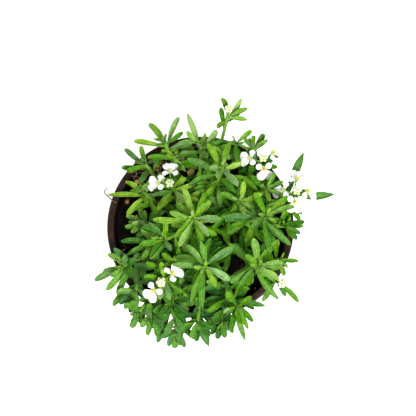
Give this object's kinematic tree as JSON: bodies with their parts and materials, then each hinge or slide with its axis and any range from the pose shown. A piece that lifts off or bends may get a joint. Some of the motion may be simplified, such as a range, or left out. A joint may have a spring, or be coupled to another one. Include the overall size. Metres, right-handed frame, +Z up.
{
  "type": "potted candytuft",
  "caption": "Low mound of narrow green leaves with small white four-petalled flower heads and buds, growing in dark soil in a round brown plastic pot.",
  "frame": {"origin": "middle of the pot's flat underside", "axes": "+Z up out of the pot; +Y away from the side from which the picture looks down; +X to its right"},
  "size_m": [0.1902, 0.1918, 0.1945],
  "materials": {
    "pot": "soft brown moulded plastic, a little dusty",
    "soil": "moist dark potting soil with fibre and grit",
    "bark": "dry tan bark chips",
    "foliage": "fresh green leaves and stems, soft sheen",
    "petals": "white matt petals",
    "buds": "cream-green closed buds"
  },
  "bodies": {
    "root": {"pot": "pot", "soil": "soil", "bark_chip_1": "bark", "bark_chip_2": "bark", "bark_chip_3": "bark", "bark_chip_4": "bark", "bark_chip_5": "bark", "bark_chip_6": "bark", "leafy_stem_1": "foliage", "leafy_stem_2": "foliage", "leafy_stem_3": "foliage", "leafy_stem_4": "foliage", "leafy_stem_5": "foliage", "leafy_stem_6": "foliage", "leafy_stem_7": "foliage", "leafy_stem_8": "foliage", "leafy_stem_9": "foliage", "leafy_stem_10": "foliage", "leafy_stem_11": "foliage", "leafy_stem_12": "foliage", "leafy_stem_13": "foliage", "leafy_stem_14": "foliage", "leafy_stem_15": "foliage", "leafy_stem_16": "foliage", "leafy_stem_17": "foliage", "leafy_stem_18": "foliage", "leafy_stem_19": "foliage", "leafy_stem_20": "foliage", "leafy_stem_21": "foliage", "leafy_stem_22": "foliage", "leafy_stem_23": "foliage", "floret_1": "petals", "floret_2": "petals", "floret_3": "petals", "floret_4": "petals", "floret_5": "petals", "floret_6": "petals", "floret_7": "petals", "floret_8": "petals", "floret_9": "petals", "floret_10": "petals", "floret_11": "petals", "bud_head_1": "buds", "bud_head_2": "buds", "bud_head_3": "buds", "bud_head_4": "buds", "bud_head_5": "buds", "bud_head_6": "buds"}
  },
  "joints": []
}
